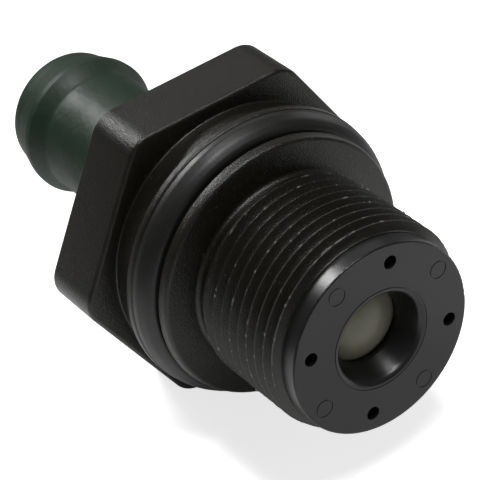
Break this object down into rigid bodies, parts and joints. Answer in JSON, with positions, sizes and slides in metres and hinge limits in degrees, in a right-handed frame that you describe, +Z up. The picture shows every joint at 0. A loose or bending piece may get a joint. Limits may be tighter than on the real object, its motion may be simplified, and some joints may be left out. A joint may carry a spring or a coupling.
{
  "type": "pcv valve",
  "caption": "Crankcase ventilation valve with a threaded hexagon body, sealing ring, sprung plunger and a beaded hose nipple.",
  "frame": {"origin": "bottom centre of the bounding box, on the floor under the middle of the length", "axes": "+X along the valve axis towards the threaded inlet end, +Z up, normal to a hexagon flat"},
  "size_m": [0.0526, 0.0324, 0.0288],
  "materials": {
    "body": "satin, glass-filled",
    "seat_cap": "satin",
    "o_ring": "smooth",
    "hose_nipple": "semi-gloss",
    "plunger": "semi-gloss",
    "spring": "drawn wire"
  },
  "bodies": {
    "housing": {"body": "body", "seat_cap": "seat_cap", "o_ring": "o_ring", "hose_nipple": "hose_nipple", "spring": "spring"},
    "plunger": {"plunger": "plunger"}
  },
  "joints": [
    {"name": "plunger_slide", "type": "slide", "parent": "housing", "child": "plunger", "axis": [-1, 0, 0], "range_m": [0, 0.0045], "stiffness_N_per_m": 150, "springref_m": -0.006, "deforming": ["spring"]}
  ]
}
